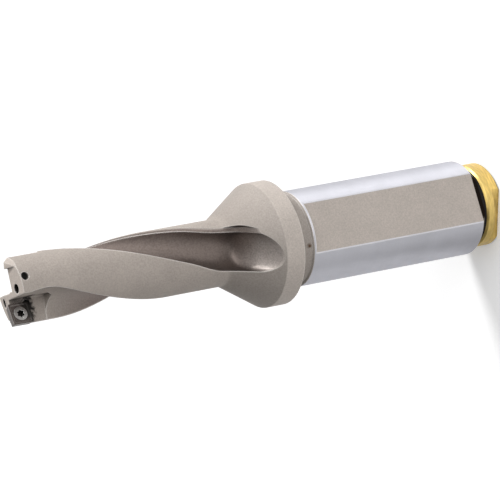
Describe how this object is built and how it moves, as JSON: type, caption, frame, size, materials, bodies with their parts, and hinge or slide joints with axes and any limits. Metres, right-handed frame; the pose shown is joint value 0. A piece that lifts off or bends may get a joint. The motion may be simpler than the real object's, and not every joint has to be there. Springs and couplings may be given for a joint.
{
  "type": "indexable insert drill",
  "caption": "Indexable insert drill with two twisted flutes, a clamped square insert at the tip, a flanged cylindrical shank with one flat, and a sealed brass plug in its rear end.",
  "frame": {"origin": "centre of the rear plug's outer face, which the drill stands on", "axes": "+Z along the drill, towards its tip; the flat on the shank faces -Y"},
  "size_m": [0.0324, 0.0324, 0.1429],
  "materials": {
    "nickelled_steel": "satin nickelled body with a ground shank",
    "carbide": "pressed and ground hard metal",
    "screw_steel": "bright",
    "brass": "turned",
    "black_rubber": "matte"
  },
  "bodies": {
    "root": {"drill_body": "nickelled_steel", "peripheral_insert": "carbide", "insert_screw": "screw_steel", "rear_plug": "brass", "plug_seal": "black_rubber"}
  },
  "joints": []
}
